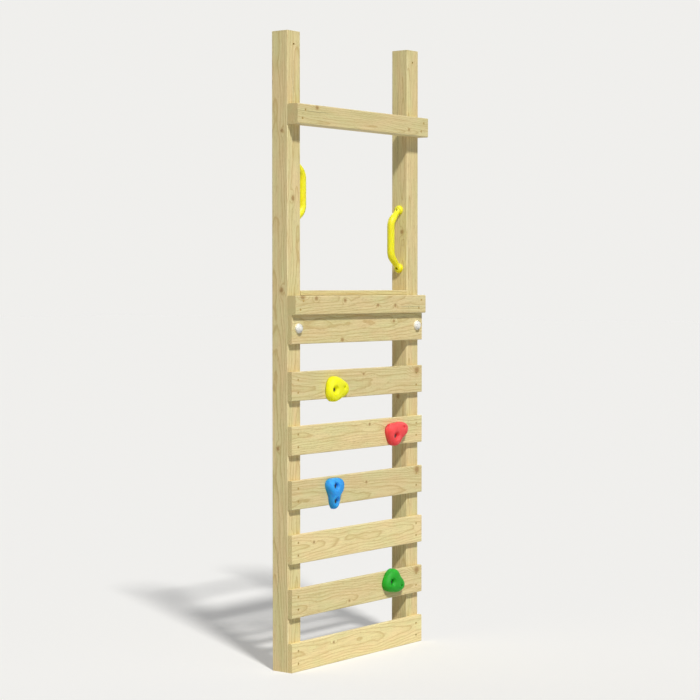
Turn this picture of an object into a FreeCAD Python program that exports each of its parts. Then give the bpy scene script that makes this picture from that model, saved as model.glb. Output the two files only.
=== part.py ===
"""Rock climbing wall of a timber play tower.

Two square posts carry a ladder of flat boards on their outer faces. Moulded
holds are bolted to the boards. Above the boards run a bolted cross board, the
edge of the play platform and, at chest height for a child on the platform, a
guard rail. A hand grip on each post helps the climber over the edge.

Frame: +X along the boards, to the right as the climber sees them, +Y through
the wall towards the platform, +Z up. The origin is on the ground, at the
middle of the wall's overall width and depth.
Every piece is one solid; like fasteners share a node as a group of solids.
"""
import FreeCAD
import Part
import math
import os

Vector = FreeCAD.Vector

# ---------------------------------------------------------------- dimensions
# Overall, in millimetres
wall_width = 765.0          # over the outer faces of both posts
post_length = 2200.0
post_size = 70.0            # square section
post_edge_radius = 4.0

# Flat boards: base board, climbing boards, cross board and landing board
board_height = 100.0
board_thickness = 18.0
board_edge_radius = 3.0
climb_board_count = 5
board_gap = 87.0            # foot gap between neighbouring climbing boards
cross_board_gap = 95.0      # gap below the bolted cross board

# Thick members
platform_beam_height = 66.0     # the landing bearer behind it is as high
platform_beam_thickness = 35.0
landing_bearer_thickness = 45.0
guard_rail_height = 70.0
guard_rail_thickness = 45.0
beam_edge_radius = 4.0
entry_height = 584.0        # clear height from platform beam to guard rail

# Clearances
end_clearance = 1.0         # at each end of a member that lies between the posts
hole_clearance = 0.1        # radial, round a shank that bites or fits closely
bolt_clearance = 0.25       # radial, round a through bolt

# Countersunk wood screws
screw_head_radius = 4.6
screw_radius = 2.5
screw_head_depth = 3.0
screw_recess_flats = 3.0
screw_recess_depth = 2.2
screw_sink = 0.6            # head face below the timber's face
board_screw_length = 60.0
beam_screw_length = 90.0
rail_screw_length = 100.0
landing_screw_length = 50.0
bearer_screw_length = 65.0
screw_spread = 44.0         # between the two screws at a board's end
beam_screw_spread = 30.0    # the same on a thick member
beam_screw_stagger = 16.0   # sideways step between those two, against splitting
landing_screw_inset = 45.0  # from the landing board's end to its screws

# Bolts through the cross board and the posts
bolt_radius = 4.0
bolt_head_flats = 13.0
bolt_head_height = 5.3
bolt_end_reach = 3.0        # bolt's end beyond its nut
nut_height = 6.5
washer_radius = 12.0
washer_thickness = 2.0
cross_bolt_rise = 4.0       # bolts above the cross board's middle

# Snap-on bolt caps
cap_base_radius = 14.8
cap_base_thickness = 3.0
cap_wall = 2.0
cap_height = 15.0
cap_snap_clearance = 0.2

# Bolt holes near the posts' tops, for the roof frame
roof_hole_radius = 4.5
roof_hole_drop = 45.0       # from the post's top to the hole

# Moulded holds
hold_depth = 31.0
hold_roundness = 4.0        # exponent of the section: 2 is an ellipse
hold_top_angle = 74.0       # where the rounding ends in a small flat
hold_sections = 8
hold_section_crowding = 1.4  # how much closer the sections lie near the rim
hold_outline_points = 36
hold_bolt_seat = 9.0        # washer seat above the board
hold_recess_radius = 9.0
hold_dish_bottom = 21.0     # where the recess starts to widen, above the board
hold_dish_radius = 17.0     # of the widened recess, at the hold's full depth
hold_washer_radius = 8.3
hold_washer_thickness = 1.6
hold_bolt_head_radius = 6.7
hold_bolt_head_height = 7.0
hold_bolt_socket_flats = 5.0
hold_bolt_socket_depth = 4.0
tee_nut_flange_radius = 11.0
tee_nut_flange_thickness = 1.5
tee_nut_barrel_radius = 5.4
tee_nut_barrel_length = 9.0
lock_screw_radius = 2.1
lock_screw_head_radius = 4.2
lock_screw_head_height = 2.8
lock_screw_seat = 10.0      # its head's seat above the board
lock_recess_radius = 5.0
lock_screw_bite = 14.0      # depth in the board

# Hand grips
grip_foot_spacing = 215.0
grip_standoff = 53.0        # bar's axis from the post's face
grip_bar_radius = 14.0
grip_leg_radius = 10.5
grip_bend_radius = 40.0
grip_leg_angle = 45.0       # between the leg and the bar
grip_foot_radius = 17.0
grip_foot_height = 15.0
grip_foot_rounding = 9.0
grip_screw_head_radius = 5.5
grip_screw_seat = 6.0       # screw head's underside above the post
grip_screw_bite = 50.0      # depth in the post
left_grip_height = 1656.0   # middle of the grip above the ground
right_grip_height = 1503.0

# Places on the holds. across and rise put the middle of a hold's outline from the
# wall's middle and above its board's middle. Bolts and lock screws are placed
# from that middle, across and up.
yellow_across = -142.0
yellow_rise = -16.5
yellow_width = 113.0
yellow_height = 89.0
yellow_bolt_across = -30.0
yellow_bolt_up = -2.0
yellow_lock_across = 20.5
yellow_lock_up = 5.5

red_across = 211.0
red_rise = -9.5
red_width = 120.5
red_height = 85.5
red_bolt_across = -22.5
red_bolt_up = -6.0
red_lock_across = 24.5
red_lock_up = 25.0

blue_across = -157.5
blue_rise = -10.0
blue_width = 85.0
blue_height = 108.5
blue_top_bolt_across = -8.5
blue_top_bolt_up = 27.5
blue_low_bolt_across = -7.0
blue_low_bolt_up = -26.0

green_across = 191.5
green_rise = 14.5
green_width = 116.5
green_height = 89.0
green_bolt_across = -25.5
green_bolt_up = -1.5
green_lock_across = 28.0
green_lock_up = -20.0

# Each hold: board number counted from the top, and its outline. The outline has
# three rounded corners: point_angle is the direction of the first, corner_depth
# how strongly they stand out. oval stretches it along oval_angle, and taper is
# how much wider the top is than the bottom.
hold_specs = {
    "yellow": {"board": 1, "middle": (yellow_across, yellow_rise),
               "size": (yellow_width, yellow_height), "point_angle": -5.0,
               "corner_depth": 0.10, "oval": 0.055, "oval_angle": 11.0, "taper": 0.035,
               "bolts": [(yellow_bolt_across, yellow_bolt_up)],
               "lock_screws": [(yellow_lock_across, yellow_lock_up)]},
    "red": {"board": 2, "middle": (red_across, red_rise),
            "size": (red_width, red_height), "point_angle": -99.0,
            "corner_depth": 0.115, "oval": 0.13, "oval_angle": 37.0, "taper": 0.135,
            "bolts": [(red_bolt_across, red_bolt_up)],
            "lock_screws": [(red_lock_across, red_lock_up)]},
    "blue": {"board": 3, "middle": (blue_across, blue_rise),
             "size": (blue_width, blue_height), "point_angle": -94.0,
             "corner_depth": 0.18, "oval": 0.133, "oval_angle": 77.0, "taper": 0.27,
             "bolts": [(blue_top_bolt_across, blue_top_bolt_up),
                       (blue_low_bolt_across, blue_low_bolt_up)],
             "lock_screws": []},
    "green": {"board": 5, "middle": (green_across, green_rise),
              "size": (green_width, green_height), "point_angle": 87.0,
              "corner_depth": 0.08, "oval": 0.11, "oval_angle": -59.0, "taper": -0.135,
              "bolts": [(green_bolt_across, green_bolt_up)],
              "lock_screws": [(green_lock_across, green_lock_up)]},
}

# ------------------------------------------------------------ derived places
half_width = wall_width / 2
board_pitch = board_height + board_gap
post_middle = half_width - post_size / 2       # X of a post's middle
inner_face = half_width - post_size            # X of a post's inner face
clear_length = 2 * (inner_face - end_clearance)

front_reach = max(board_thickness + hold_depth, guard_rail_thickness)
bolt_tail = washer_thickness + nut_height + bolt_end_reach
back_reach = max(board_height, post_size + bolt_tail)
face_y = (front_reach - back_reach) / 2        # posts' outer faces, behind the boards
board_front_y = face_y - board_thickness
beam_front_y = face_y - platform_beam_thickness
rail_front_y = face_y - guard_rail_thickness
bearer_back_y = face_y + landing_bearer_thickness
post_back_y = face_y + post_size
post_middle_y = face_y + post_size / 2

ladder_top = climb_board_count * board_pitch + board_height
cross_board_bottom = ladder_top + cross_board_gap
beam_bottom = cross_board_bottom + board_height
beam_top = beam_bottom + platform_beam_height
beam_middle = beam_bottom + platform_beam_height / 2
rail_bottom = beam_top + entry_height
rail_middle = rail_bottom + guard_rail_height / 2
cross_bolt_z = cross_board_bottom + board_height / 2 + cross_bolt_rise
roof_hole_z = post_length - roof_hole_drop

INWARD = Vector(0, 1, 0)
OUTWARD = Vector(0, -1, 0)
RIGHT = Vector(1, 0, 0)
LEFT = Vector(-1, 0, 0)
UP = Vector(0, 0, 1)
DOWN = Vector(0, 0, -1)
SIDES = (-1, 1)


def climb_board_bottom(number):
    """Height of a climbing board's lower edge, counting boards from the top."""
    return (climb_board_count + 1 - number) * board_pitch


# ------------------------------------------------------------------- shapes
def rod(radius, length, start, direction):
    """A cylinder from start along direction."""
    return Part.makeCylinder(radius, length, start, direction)


def along(start, direction, distance):
    """The point that lies the given distance from start along direction."""
    return start + direction * distance


def hexagon(flats, length, start, direction):
    """A hexagonal prism of the given width across flats."""
    corner_radius = flats / math.sqrt(3)
    corners = []
    for index in range(7):
        angle = math.radians(60 * index)
        corners.append(Vector(corner_radius * math.cos(angle), corner_radius * math.sin(angle), 0))
    prism = Part.Face(Part.makePolygon(corners)).extrude(Vector(0, 0, length))
    prism.Placement = FreeCAD.Placement(start, FreeCAD.Rotation(UP, direction))
    return prism


def turned(outline, start, direction):
    """A turned piece: outline is a list of (radius, height) pairs joined by straight lines."""
    points = [Vector(radius, 0, height) for radius, height in outline]
    face = Part.Face(Part.makePolygon(points + points[:1]))
    solid = face.revolve(Vector(0, 0, 0), UP, 360)
    solid.Placement = FreeCAD.Placement(start, FreeCAD.Rotation(UP, direction))
    return solid


def timber(low, high, grain, edge_radius):
    """A planed timber between two corners, its four edges along the grain rounded."""
    size = high - low
    block = Part.makeBox(size.x, size.y, size.z, low)
    grain_edges = []
    for edge in block.Edges:
        line = edge.Vertexes[1].Point - edge.Vertexes[0].Point
        if line.cross(grain).Length < 0.001:
            grain_edges.append(edge)
    return block.makeFillet(edge_radius, grain_edges)


def wood_screw(head_point, direction, length, head_radius=screw_head_radius):
    """A countersunk screw with its head's face at head_point."""
    tip_length = 2 * screw_radius
    head = Part.makeCone(head_radius, screw_radius, screw_head_depth, head_point, direction)
    shank = rod(screw_radius, length - tip_length, head_point, direction)
    tip_point = along(head_point, direction, length - tip_length)
    tip = Part.makeCone(screw_radius, screw_radius / 5, tip_length, tip_point, direction)
    recess = hexagon(screw_recess_flats, screw_recess_depth, head_point, direction)
    return head.fuse([shank, tip]).removeSplitter().cut(recess)


def wood_screw_hole(head_point, direction, length, head_radius=screw_head_radius):
    """The space that a countersunk screw needs, open above its head."""
    shank = rod(screw_radius + hole_clearance, length + hole_clearance, head_point, direction)
    seat = Part.makeCone(head_radius + hole_clearance, screw_radius + hole_clearance,
                         screw_head_depth, head_point, direction)
    mouth = rod(head_radius + hole_clearance, screw_sink, head_point, -direction)
    return shank.fuse([seat, mouth])


def washer(outer_radius, hole_radius, thickness, start, direction):
    """A flat washer."""
    return rod(outer_radius, thickness, start, direction).cut(
        rod(hole_radius, thickness, start, direction))


def cut_all(shape, cutters):
    """shape with every cutter that reaches it taken away."""
    near = [cutter for cutter in cutters if cutter.BoundBox.intersect(shape.BoundBox)]
    if not near:
        return shape
    return shape.cut(near)


# ------------------------------------------------------- screw and bolt places
def board_screw_points(board_bottom):
    """Head points of the four screws that hold a thin board on both posts."""
    points = []
    for side in SIDES:
        for step in (-0.5, 0.5):
            height = board_bottom + board_height / 2 + step * screw_spread
            points.append(Vector(side * post_middle, board_front_y + screw_sink, height))
    return points


def beam_screw_points(front_y, middle_height):
    """Head points of the four screws that hold a thick member on both posts."""
    points = []
    for side in SIDES:
        for step in (-0.5, 0.5):
            across = side * post_middle + step * beam_screw_stagger
            height = middle_height + step * beam_screw_spread
            points.append(Vector(across, front_y + screw_sink, height))
    return points


def bearer_screw_points():
    """Head points on the bearer's back: the screws run forwards into the platform beam."""
    points = []
    spacing = clear_length / 4
    for index in range(4):
        across = -clear_length / 2 + spacing * (index + 0.5)
        points.append(Vector(across, bearer_back_y - screw_sink, beam_middle))
    return points


def landing_screw_points():
    """Head points on top of the landing board, above the bearer's middle."""
    points = []
    reach = clear_length / 2 - landing_screw_inset
    for across in (-reach, 0, reach):
        points.append(Vector(across, face_y + landing_bearer_thickness / 2,
                             beam_top + board_thickness - screw_sink))
    return points


def grip_foot_points(side, middle_height):
    """Where a grip's two feet stand on its post's inner face."""
    points = []
    for step in (-0.5, 0.5):
        points.append(Vector(side * inner_face, post_middle_y,
                             middle_height + step * grip_foot_spacing))
    return points


climb_screw_points = []
for number in range(1, climb_board_count + 1):
    climb_screw_points += board_screw_points(climb_board_bottom(number))
base_screw_points = board_screw_points(0)
grip_heights = {-1: left_grip_height, 1: right_grip_height}

board_screw_holes = [wood_screw_hole(point, INWARD, board_screw_length)
                     for point in climb_screw_points + base_screw_points]
platform_screw_points = beam_screw_points(beam_front_y, beam_middle)
rail_screw_points = beam_screw_points(rail_front_y, rail_middle)
beam_screw_holes = [wood_screw_hole(point, INWARD, beam_screw_length)
                    for point in platform_screw_points]
rail_screw_holes = [wood_screw_hole(point, INWARD, rail_screw_length)
                    for point in rail_screw_points]
bearer_screw_holes = [wood_screw_hole(point, OUTWARD, bearer_screw_length)
                      for point in bearer_screw_points()]
landing_screw_holes = [wood_screw_hole(point, DOWN, landing_screw_length)
                       for point in landing_screw_points()]
grip_screw_holes = []
for side in SIDES:
    for foot in grip_foot_points(side, grip_heights[side]):
        grip_screw_holes.append(rod(screw_radius + hole_clearance,
                                    grip_screw_bite + hole_clearance, foot, RIGHT * side))
cross_bolt_length = post_back_y - board_front_y
cross_bolt_holes = [rod(bolt_radius + bolt_clearance, cross_bolt_length,
                        Vector(side * post_middle, board_front_y, cross_bolt_z), INWARD)
                    for side in SIDES]
roof_holes = [rod(roof_hole_radius, post_size,
                  Vector(side * post_middle, face_y, roof_hole_z), INWARD)
              for side in SIDES]


# ------------------------------------------------------------------- timbers
def make_post(side):
    """One square post, drilled for everything that is fixed to it."""
    low = Vector(side * post_middle - post_size / 2, face_y, 0)
    high = Vector(side * post_middle + post_size / 2, post_back_y, post_length)
    post = timber(low, high, UP, post_edge_radius)
    drilled = (board_screw_holes + beam_screw_holes + rail_screw_holes + grip_screw_holes
               + cross_bolt_holes + roof_holes)
    return cut_all(post, drilled)


def make_board(board_bottom, holes):
    """One flat board across both posts."""
    low = Vector(-half_width, board_front_y, board_bottom)
    high = Vector(half_width, face_y, board_bottom + board_height)
    return cut_all(timber(low, high, RIGHT, board_edge_radius), holes)


def make_thick_member(front_y, bottom, height, holes):
    """A platform beam or guard rail on the posts' outer faces."""
    low = Vector(-half_width, front_y, bottom)
    high = Vector(half_width, face_y, bottom + height)
    return cut_all(timber(low, high, RIGHT, beam_edge_radius), holes)


def make_landing_bearer():
    """The joist behind the platform beam, between the posts."""
    low = Vector(-clear_length / 2, face_y, beam_bottom)
    high = Vector(clear_length / 2, bearer_back_y, beam_top)
    bearer = timber(low, high, RIGHT, beam_edge_radius)
    return cut_all(bearer, bearer_screw_holes + landing_screw_holes)


def make_landing_board():
    """The first floor board of the platform, between the posts."""
    low = Vector(-clear_length / 2, face_y, beam_top)
    high = Vector(clear_length / 2, face_y + board_height, beam_top + board_thickness)
    return cut_all(timber(low, high, RIGHT, board_edge_radius), landing_screw_holes)


# --------------------------------------------------------------------- holds
def hold_middle(spec):
    """The middle of a hold's outline, on its board's front face."""
    across, rise = spec["middle"]
    height = climb_board_bottom(spec["board"]) + board_height / 2 + rise
    return Vector(across, board_front_y, height)


def hold_outline(spec):
    """The outline as (across, up) pairs: a circle with three corners, drawn out and tapered.

    The radius grows by corner_depth towards each corner and by oval along the
    oval's angle, and the width grows with height by taper. The result is
    scaled to the stated width and height.
    """
    raw = []
    for index in range(hold_outline_points):
        angle = 2 * math.pi * index / hold_outline_points
        corner = math.cos(3 * (angle - math.radians(spec["point_angle"])))
        stretch = math.cos(2 * (angle - math.radians(spec["oval_angle"])))
        radius = 1 + spec["corner_depth"] * corner + spec["oval"] * stretch
        across = radius * math.cos(angle) * (1 + spec["taper"] * math.sin(angle))
        raw.append((across, radius * math.sin(angle)))
    lows = [min(pair[axis] for pair in raw) for axis in (0, 1)]
    highs = [max(pair[axis] for pair in raw) for axis in (0, 1)]
    sizes = spec["size"]
    outline = []
    for pair in raw:
        outline.append(tuple(((pair[axis] - lows[axis]) / (highs[axis] - lows[axis]) - 0.5)
                             * sizes[axis] for axis in (0, 1)))
    return outline


def hold_section(spec, share, height):
    """The outline shrunk to share of its size about the main bolt, at a height off the board."""
    middle = hold_middle(spec)
    focus = spec["bolts"][0] if spec["lock_screws"] else (0, 0)
    focus = (focus[0] / 3, focus[1] / 3)
    points = []
    for across, up in hold_outline(spec):
        points.append(Vector(middle.x + focus[0] + (across - focus[0]) * share,
                             board_front_y - height,
                             middle.z + focus[1] + (up - focus[1]) * share))
    curve = Part.BSplineCurve()
    curve.interpolate(points, PeriodicFlag=True)
    return Part.Wire(curve.toShape())


def hold_places(spec, key):
    """Points on the board's front face under a hold's bolts or lock screws."""
    middle = hold_middle(spec)
    return [Vector(middle.x + across, board_front_y, middle.z + up)
            for across, up in spec[key]]


def make_hold(spec):
    """A moulded hold: rounded sides, a nearly flat top, and its fasteners' recesses."""
    power = 2 / hold_roundness
    sections = []
    for index in range(hold_sections):
        way = (index / (hold_sections - 1)) ** hold_section_crowding
        angle = math.radians(hold_top_angle) * way
        share = math.cos(angle) ** power
        height = hold_depth * (math.sin(angle) / math.sin(math.radians(hold_top_angle))) ** power
        sections.append(hold_section(spec, share, height))
    body = Part.makeLoft(sections, True, False)
    for point in hold_places(spec, "bolts"):
        body = body.cut(rod(bolt_radius + bolt_clearance, hold_depth, point, OUTWARD))
        seat = along(point, OUTWARD, hold_bolt_seat)
        body = body.cut(rod(hold_recess_radius, hold_depth, seat, OUTWARD))
        body = body.cut(Part.makeCone(hold_recess_radius, hold_dish_radius,
                                      hold_depth - hold_dish_bottom,
                                      along(point, OUTWARD, hold_dish_bottom), OUTWARD))
    for point in hold_places(spec, "lock_screws"):
        body = body.cut(rod(lock_screw_radius + hole_clearance, hold_depth, point, OUTWARD))
        seat = along(point, OUTWARD, lock_screw_seat)
        body = body.cut(rod(lock_recess_radius, hold_depth, seat, OUTWARD))
    return body


def hold_board_holes(number):
    """Holes in one climbing board for its holds' bolts, tee nuts and lock screws."""
    holes = []
    for spec in hold_specs.values():
        if spec["board"] != number:
            continue
        for point in hold_places(spec, "bolts"):
            back = along(point, INWARD, board_thickness)
            holes.append(rod(bolt_radius + bolt_clearance, board_thickness, point, INWARD))
            holes.append(rod(tee_nut_barrel_radius + hole_clearance, tee_nut_barrel_length,
                             back, OUTWARD))
        for point in hold_places(spec, "lock_screws"):
            holes.append(rod(lock_screw_radius + hole_clearance,
                             lock_screw_bite + hole_clearance, point, INWARD))
    return holes


def make_hold_bolt(board_point):
    """A socket-head bolt from its washer in the hold to its tee nut behind the board."""
    head_seat = along(board_point, OUTWARD, hold_bolt_seat + hold_washer_thickness)
    length = hold_bolt_seat + hold_washer_thickness + board_thickness + tee_nut_flange_thickness
    head = rod(hold_bolt_head_radius, hold_bolt_head_height, head_seat, OUTWARD)
    head_face = along(head_seat, OUTWARD, hold_bolt_head_height)
    socket = hexagon(hold_bolt_socket_flats, hold_bolt_socket_depth, head_face, INWARD)
    return head.fuse(rod(bolt_radius, length, head_seat, INWARD)).cut(socket)


def make_hold_washer(board_point):
    """The washer at the bottom of a hold's recess."""
    seat = along(board_point, OUTWARD, hold_bolt_seat)
    return washer(hold_washer_radius, bolt_radius + bolt_clearance, hold_washer_thickness,
                  seat, OUTWARD)


def make_tee_nut(board_point):
    """A tee nut: its barrel is in the board's back, its flange on it."""
    back = along(board_point, INWARD, board_thickness)
    barrel = rod(tee_nut_barrel_radius, tee_nut_barrel_length - hole_clearance, back, OUTWARD)
    flange = rod(tee_nut_flange_radius, tee_nut_flange_thickness, back, INWARD)
    bore_start = along(back, OUTWARD, tee_nut_barrel_length)
    bore = rod(bolt_radius + hole_clearance, tee_nut_barrel_length + tee_nut_flange_thickness,
               bore_start, INWARD)
    return barrel.fuse(flange).removeSplitter().cut(bore)


def make_lock_screw(board_point):
    """A pan-head wood screw that keeps a hold from turning."""
    seat = along(board_point, OUTWARD, lock_screw_seat)
    head = rod(lock_screw_head_radius, lock_screw_head_height, seat, OUTWARD)
    rim_edges = [edge for edge in head.Edges
                 if abs(edge.CenterOfMass.y - (seat.y - lock_screw_head_height)) < 0.001]
    head = head.makeFillet(lock_screw_head_height / 3, rim_edges)
    shank = rod(lock_screw_radius, lock_screw_seat + lock_screw_bite, seat, INWARD)
    head_face = along(seat, OUTWARD, lock_screw_head_height)
    recess = hexagon(screw_recess_flats, screw_recess_depth, head_face, INWARD)
    return head.fuse(shank).cut(recess)


# ------------------------------------------------------- cross board bolts
def cap_base_point(side):
    """Where a bolt cap's base lies on the cross board."""
    return Vector(side * post_middle, board_front_y, cross_bolt_z)


def make_cap_base(side):
    """The plastic washer under a bolt's head, on which the cap snaps."""
    return washer(cap_base_radius, bolt_radius + bolt_clearance, cap_base_thickness,
                  cap_base_point(side), OUTWARD)


def make_bolt_cap(side):
    """A domed cap: a shell over its base and the bolt's head."""
    inner_radius = cap_base_radius + cap_snap_clearance
    outer_radius = inner_radius + cap_wall
    steps = 10
    outer = []
    inner = []
    shoulder = cap_base_thickness
    for index in range(steps + 1):
        angle = math.pi / 2 * index / steps
        outer.append((outer_radius * math.cos(angle),
                      shoulder + (cap_height - shoulder) * math.sin(angle)))
        inner.append((inner_radius * math.cos(angle) ** 0.5,
                      shoulder + (cap_height - cap_wall - shoulder) * math.sin(angle)))
    outer[-1] = (0, cap_height)
    inner[-1] = (0, cap_height - cap_wall)
    outline = [(inner_radius, 0), (outer_radius, 0)] + outer + inner[::-1]
    return turned(outline, cap_base_point(side), OUTWARD)


def make_cross_bolt(side):
    """A hexagon-head bolt from the cap's base through board and post."""
    head_seat = along(cap_base_point(side), OUTWARD, cap_base_thickness)
    length = cap_base_thickness + cross_bolt_length + bolt_tail
    head = hexagon(bolt_head_flats, bolt_head_height, head_seat, OUTWARD)
    return head.fuse(rod(bolt_radius, length, head_seat, INWARD))


def make_cross_washer(side):
    """The washer between post and nut."""
    return washer(washer_radius, bolt_radius + bolt_clearance, washer_thickness,
                  Vector(side * post_middle, post_back_y, cross_bolt_z), INWARD)


def make_cross_nut(side):
    """The hexagon nut behind the post."""
    start = Vector(side * post_middle, post_back_y + washer_thickness, cross_bolt_z)
    nut = hexagon(bolt_head_flats, nut_height, start, INWARD)
    return nut.cut(rod(bolt_radius + hole_clearance, nut_height, start, INWARD))


# --------------------------------------------------------------------- grips
def make_grip_half(side, half):
    """Bar, bend and leg of one half of a grip, above (1) or below (-1) its middle.

    The leg runs from the bar to the foot at 45 degrees, and its axis meets the
    foot's axis at half the foot's height.
    """
    away = LEFT * side
    along_post = UP * half
    turn = math.radians(grip_leg_angle)
    post_point = Vector(side * inner_face, post_middle_y, grip_heights[side])
    leg_rise = grip_standoff - grip_foot_height / 2
    corner_up = grip_foot_spacing / 2 - leg_rise / math.tan(turn)
    bend_start_up = corner_up - grip_bend_radius * math.tan(turn / 2)
    bar_start = post_point + away * grip_standoff
    bend_start = bar_start + along_post * bend_start_up
    bend_centre = bend_start - away * grip_bend_radius
    bar = rod(grip_bar_radius, bend_start_up, bar_start, along_post)
    circle = Part.makeCircle(grip_bar_radius, bend_start, along_post)
    bend_axis = away.cross(along_post)
    bend = Part.Face(Part.Wire(circle)).revolve(bend_centre, bend_axis, grip_leg_angle)
    leg_heading = along_post * math.cos(turn) - away * math.sin(turn)
    leg_start = bend_centre + (away * math.cos(turn) + along_post * math.sin(turn)) * grip_bend_radius
    foot_point = post_point + along_post * (grip_foot_spacing / 2) + away * (grip_foot_height / 2)
    leg = Part.makeCone(grip_bar_radius, grip_leg_radius, leg_start.distanceToPoint(foot_point),
                        leg_start, leg_heading)
    return bar.fuse([bend, leg])


def make_grip(side):
    """One moulded grip on the inner face of a post."""
    away = LEFT * side
    pieces = [make_grip_half(side, 1), make_grip_half(side, -1)]
    holes = []
    for foot in grip_foot_points(side, grip_heights[side]):
        boss = rod(grip_foot_radius, grip_foot_height, foot, away)
        rim_x = foot.x - side * grip_foot_height
        rim_edges = [edge for edge in boss.Edges if abs(edge.CenterOfMass.x - rim_x) < 0.001]
        pieces.append(boss.makeFillet(grip_foot_rounding, rim_edges))
        holes.append(rod(screw_radius + hole_clearance, grip_screw_seat, foot, away))
        seat = along(foot, away, grip_screw_seat)
        holes.append(rod(grip_screw_head_radius + hole_clearance, grip_standoff, seat, away))
    return pieces[0].fuse(pieces[1:]).removeSplitter().cut(holes)


def make_grip_screw(side, foot):
    """A pan-head screw through one foot of a grip into the post."""
    away = LEFT * side
    seat = along(foot, away, grip_screw_seat)
    head = rod(grip_screw_head_radius, screw_head_depth, seat, away)
    shank = rod(screw_radius, grip_screw_seat + grip_screw_bite, seat, -away)
    head_face = along(seat, away, screw_head_depth)
    recess = hexagon(screw_recess_flats, screw_recess_depth, head_face, -away)
    return head.fuse(shank).cut(recess)


# ------------------------------------------------------------------ assembly
nodes = {
    "post_left": make_post(-1),
    "post_right": make_post(1),
    "base_board": make_board(0, board_screw_holes),
    "cross_board": make_board(cross_board_bottom, cross_bolt_holes),
    "platform_beam": make_thick_member(beam_front_y, beam_bottom, platform_beam_height,
                                       beam_screw_holes + bearer_screw_holes),
    "guard_rail": make_thick_member(rail_front_y, rail_bottom, guard_rail_height,
                                    rail_screw_holes),
    "landing_bearer": make_landing_bearer(),
    "landing_board": make_landing_board(),
    "grip_left": make_grip(-1),
    "grip_right": make_grip(1),
}
for number in range(1, climb_board_count + 1):
    holes = board_screw_holes + hold_board_holes(number)
    nodes[f"climb_board_{number}"] = make_board(climb_board_bottom(number), holes)
for colour, spec in hold_specs.items():
    nodes[f"hold_{colour}"] = make_hold(spec)

bolt_points = []
lock_points = []
for spec in hold_specs.values():
    bolt_points += hold_places(spec, "bolts")
    lock_points += hold_places(spec, "lock_screws")
groups = {
    "hold_bolts": [make_hold_bolt(point) for point in bolt_points],
    "hold_bolt_washers": [make_hold_washer(point) for point in bolt_points],
    "hold_tee_nuts": [make_tee_nut(point) for point in bolt_points],
    "hold_lock_screws": [make_lock_screw(point) for point in lock_points],
    "cross_board_bolts": [make_cross_bolt(side) for side in SIDES],
    "cross_board_washers": [make_cross_washer(side) for side in SIDES],
    "cross_board_nuts": [make_cross_nut(side) for side in SIDES],
    "bolt_cap_bases": [make_cap_base(side) for side in SIDES],
    "bolt_caps": [make_bolt_cap(side) for side in SIDES],
    "climb_board_screws": [wood_screw(point, INWARD, board_screw_length)
                           for point in climb_screw_points],
    "base_board_screws": [wood_screw(point, INWARD, board_screw_length)
                          for point in base_screw_points],
    "platform_beam_screws": [wood_screw(point, INWARD, beam_screw_length)
                             for point in platform_screw_points],
    "guard_rail_screws": [wood_screw(point, INWARD, rail_screw_length)
                          for point in rail_screw_points],
    "landing_bearer_screws": [wood_screw(point, OUTWARD, bearer_screw_length)
                              for point in bearer_screw_points()],
    "landing_board_screws": [wood_screw(point, DOWN, landing_screw_length)
                             for point in landing_screw_points()],
    "grip_screws": [make_grip_screw(side, foot) for side in SIDES
                    for foot in grip_foot_points(side, grip_heights[side])],
}
for name, solids in groups.items():
    nodes[name] = Part.makeCompound(solids)

os.makedirs("parts", exist_ok=True)
for name, shape in nodes.items():
    shape.exportStep(f"parts/{name}.step")
    box = shape.BoundBox
    print(f"{name}: {len(shape.Solids)} solid, valid {shape.isValid()}, "
          f"{shape.Volume / 1000:.1f} cm3, x {box.XMin:.1f}..{box.XMax:.1f}, "
          f"y {box.YMin:.1f}..{box.YMax:.1f}, z {box.ZMin:.1f}..{box.ZMax:.1f}")
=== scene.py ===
# %% [markdown]
# # A timber climbing wall, dressed round its measured frame
# The wall is one side of a garden play tower: two square posts, a ladder of flat pine boards with
# moulded holds bolted on, the edge of the play platform, a guard rail and two hand grips. The measured
# solids are already in place. This lesson gives each of them the surface that the real thing has, and
# models again, in finer form, the moulded plastic pieces, whose soft shapes a builder's solid only hints at.

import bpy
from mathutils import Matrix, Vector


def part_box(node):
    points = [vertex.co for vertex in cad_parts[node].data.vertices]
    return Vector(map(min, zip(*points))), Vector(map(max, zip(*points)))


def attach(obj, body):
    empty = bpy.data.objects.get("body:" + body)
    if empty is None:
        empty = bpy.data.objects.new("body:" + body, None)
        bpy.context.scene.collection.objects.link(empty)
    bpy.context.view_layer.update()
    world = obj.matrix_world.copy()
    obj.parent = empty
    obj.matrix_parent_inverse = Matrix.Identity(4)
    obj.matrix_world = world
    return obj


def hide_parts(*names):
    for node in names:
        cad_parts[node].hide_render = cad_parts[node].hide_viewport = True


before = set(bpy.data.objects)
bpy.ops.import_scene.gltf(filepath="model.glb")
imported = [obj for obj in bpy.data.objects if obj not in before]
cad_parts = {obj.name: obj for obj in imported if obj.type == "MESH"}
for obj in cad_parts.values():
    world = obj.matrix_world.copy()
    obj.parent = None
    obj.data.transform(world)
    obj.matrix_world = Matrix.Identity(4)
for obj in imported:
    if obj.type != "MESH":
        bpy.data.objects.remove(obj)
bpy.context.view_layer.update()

import math

import bmesh
import bpy
import numpy as np
from mathutils import Vector

# %% [markdown]
# ## Small helpers for colours and materials
# Colours are written as sRGB hex, as a paint chart gives them, and turned to the linear values that a
# renderer adds up. One function sets or links a node's inputs, and one adds any shader node. The last
# two make a material that ends in a Principled surface, where every finish below starts, and put a
# finish on a piece. A Mix node for colours takes them at its inputs 6 and 7, blends them by input 0 and
# gives the result at output 2.

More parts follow.
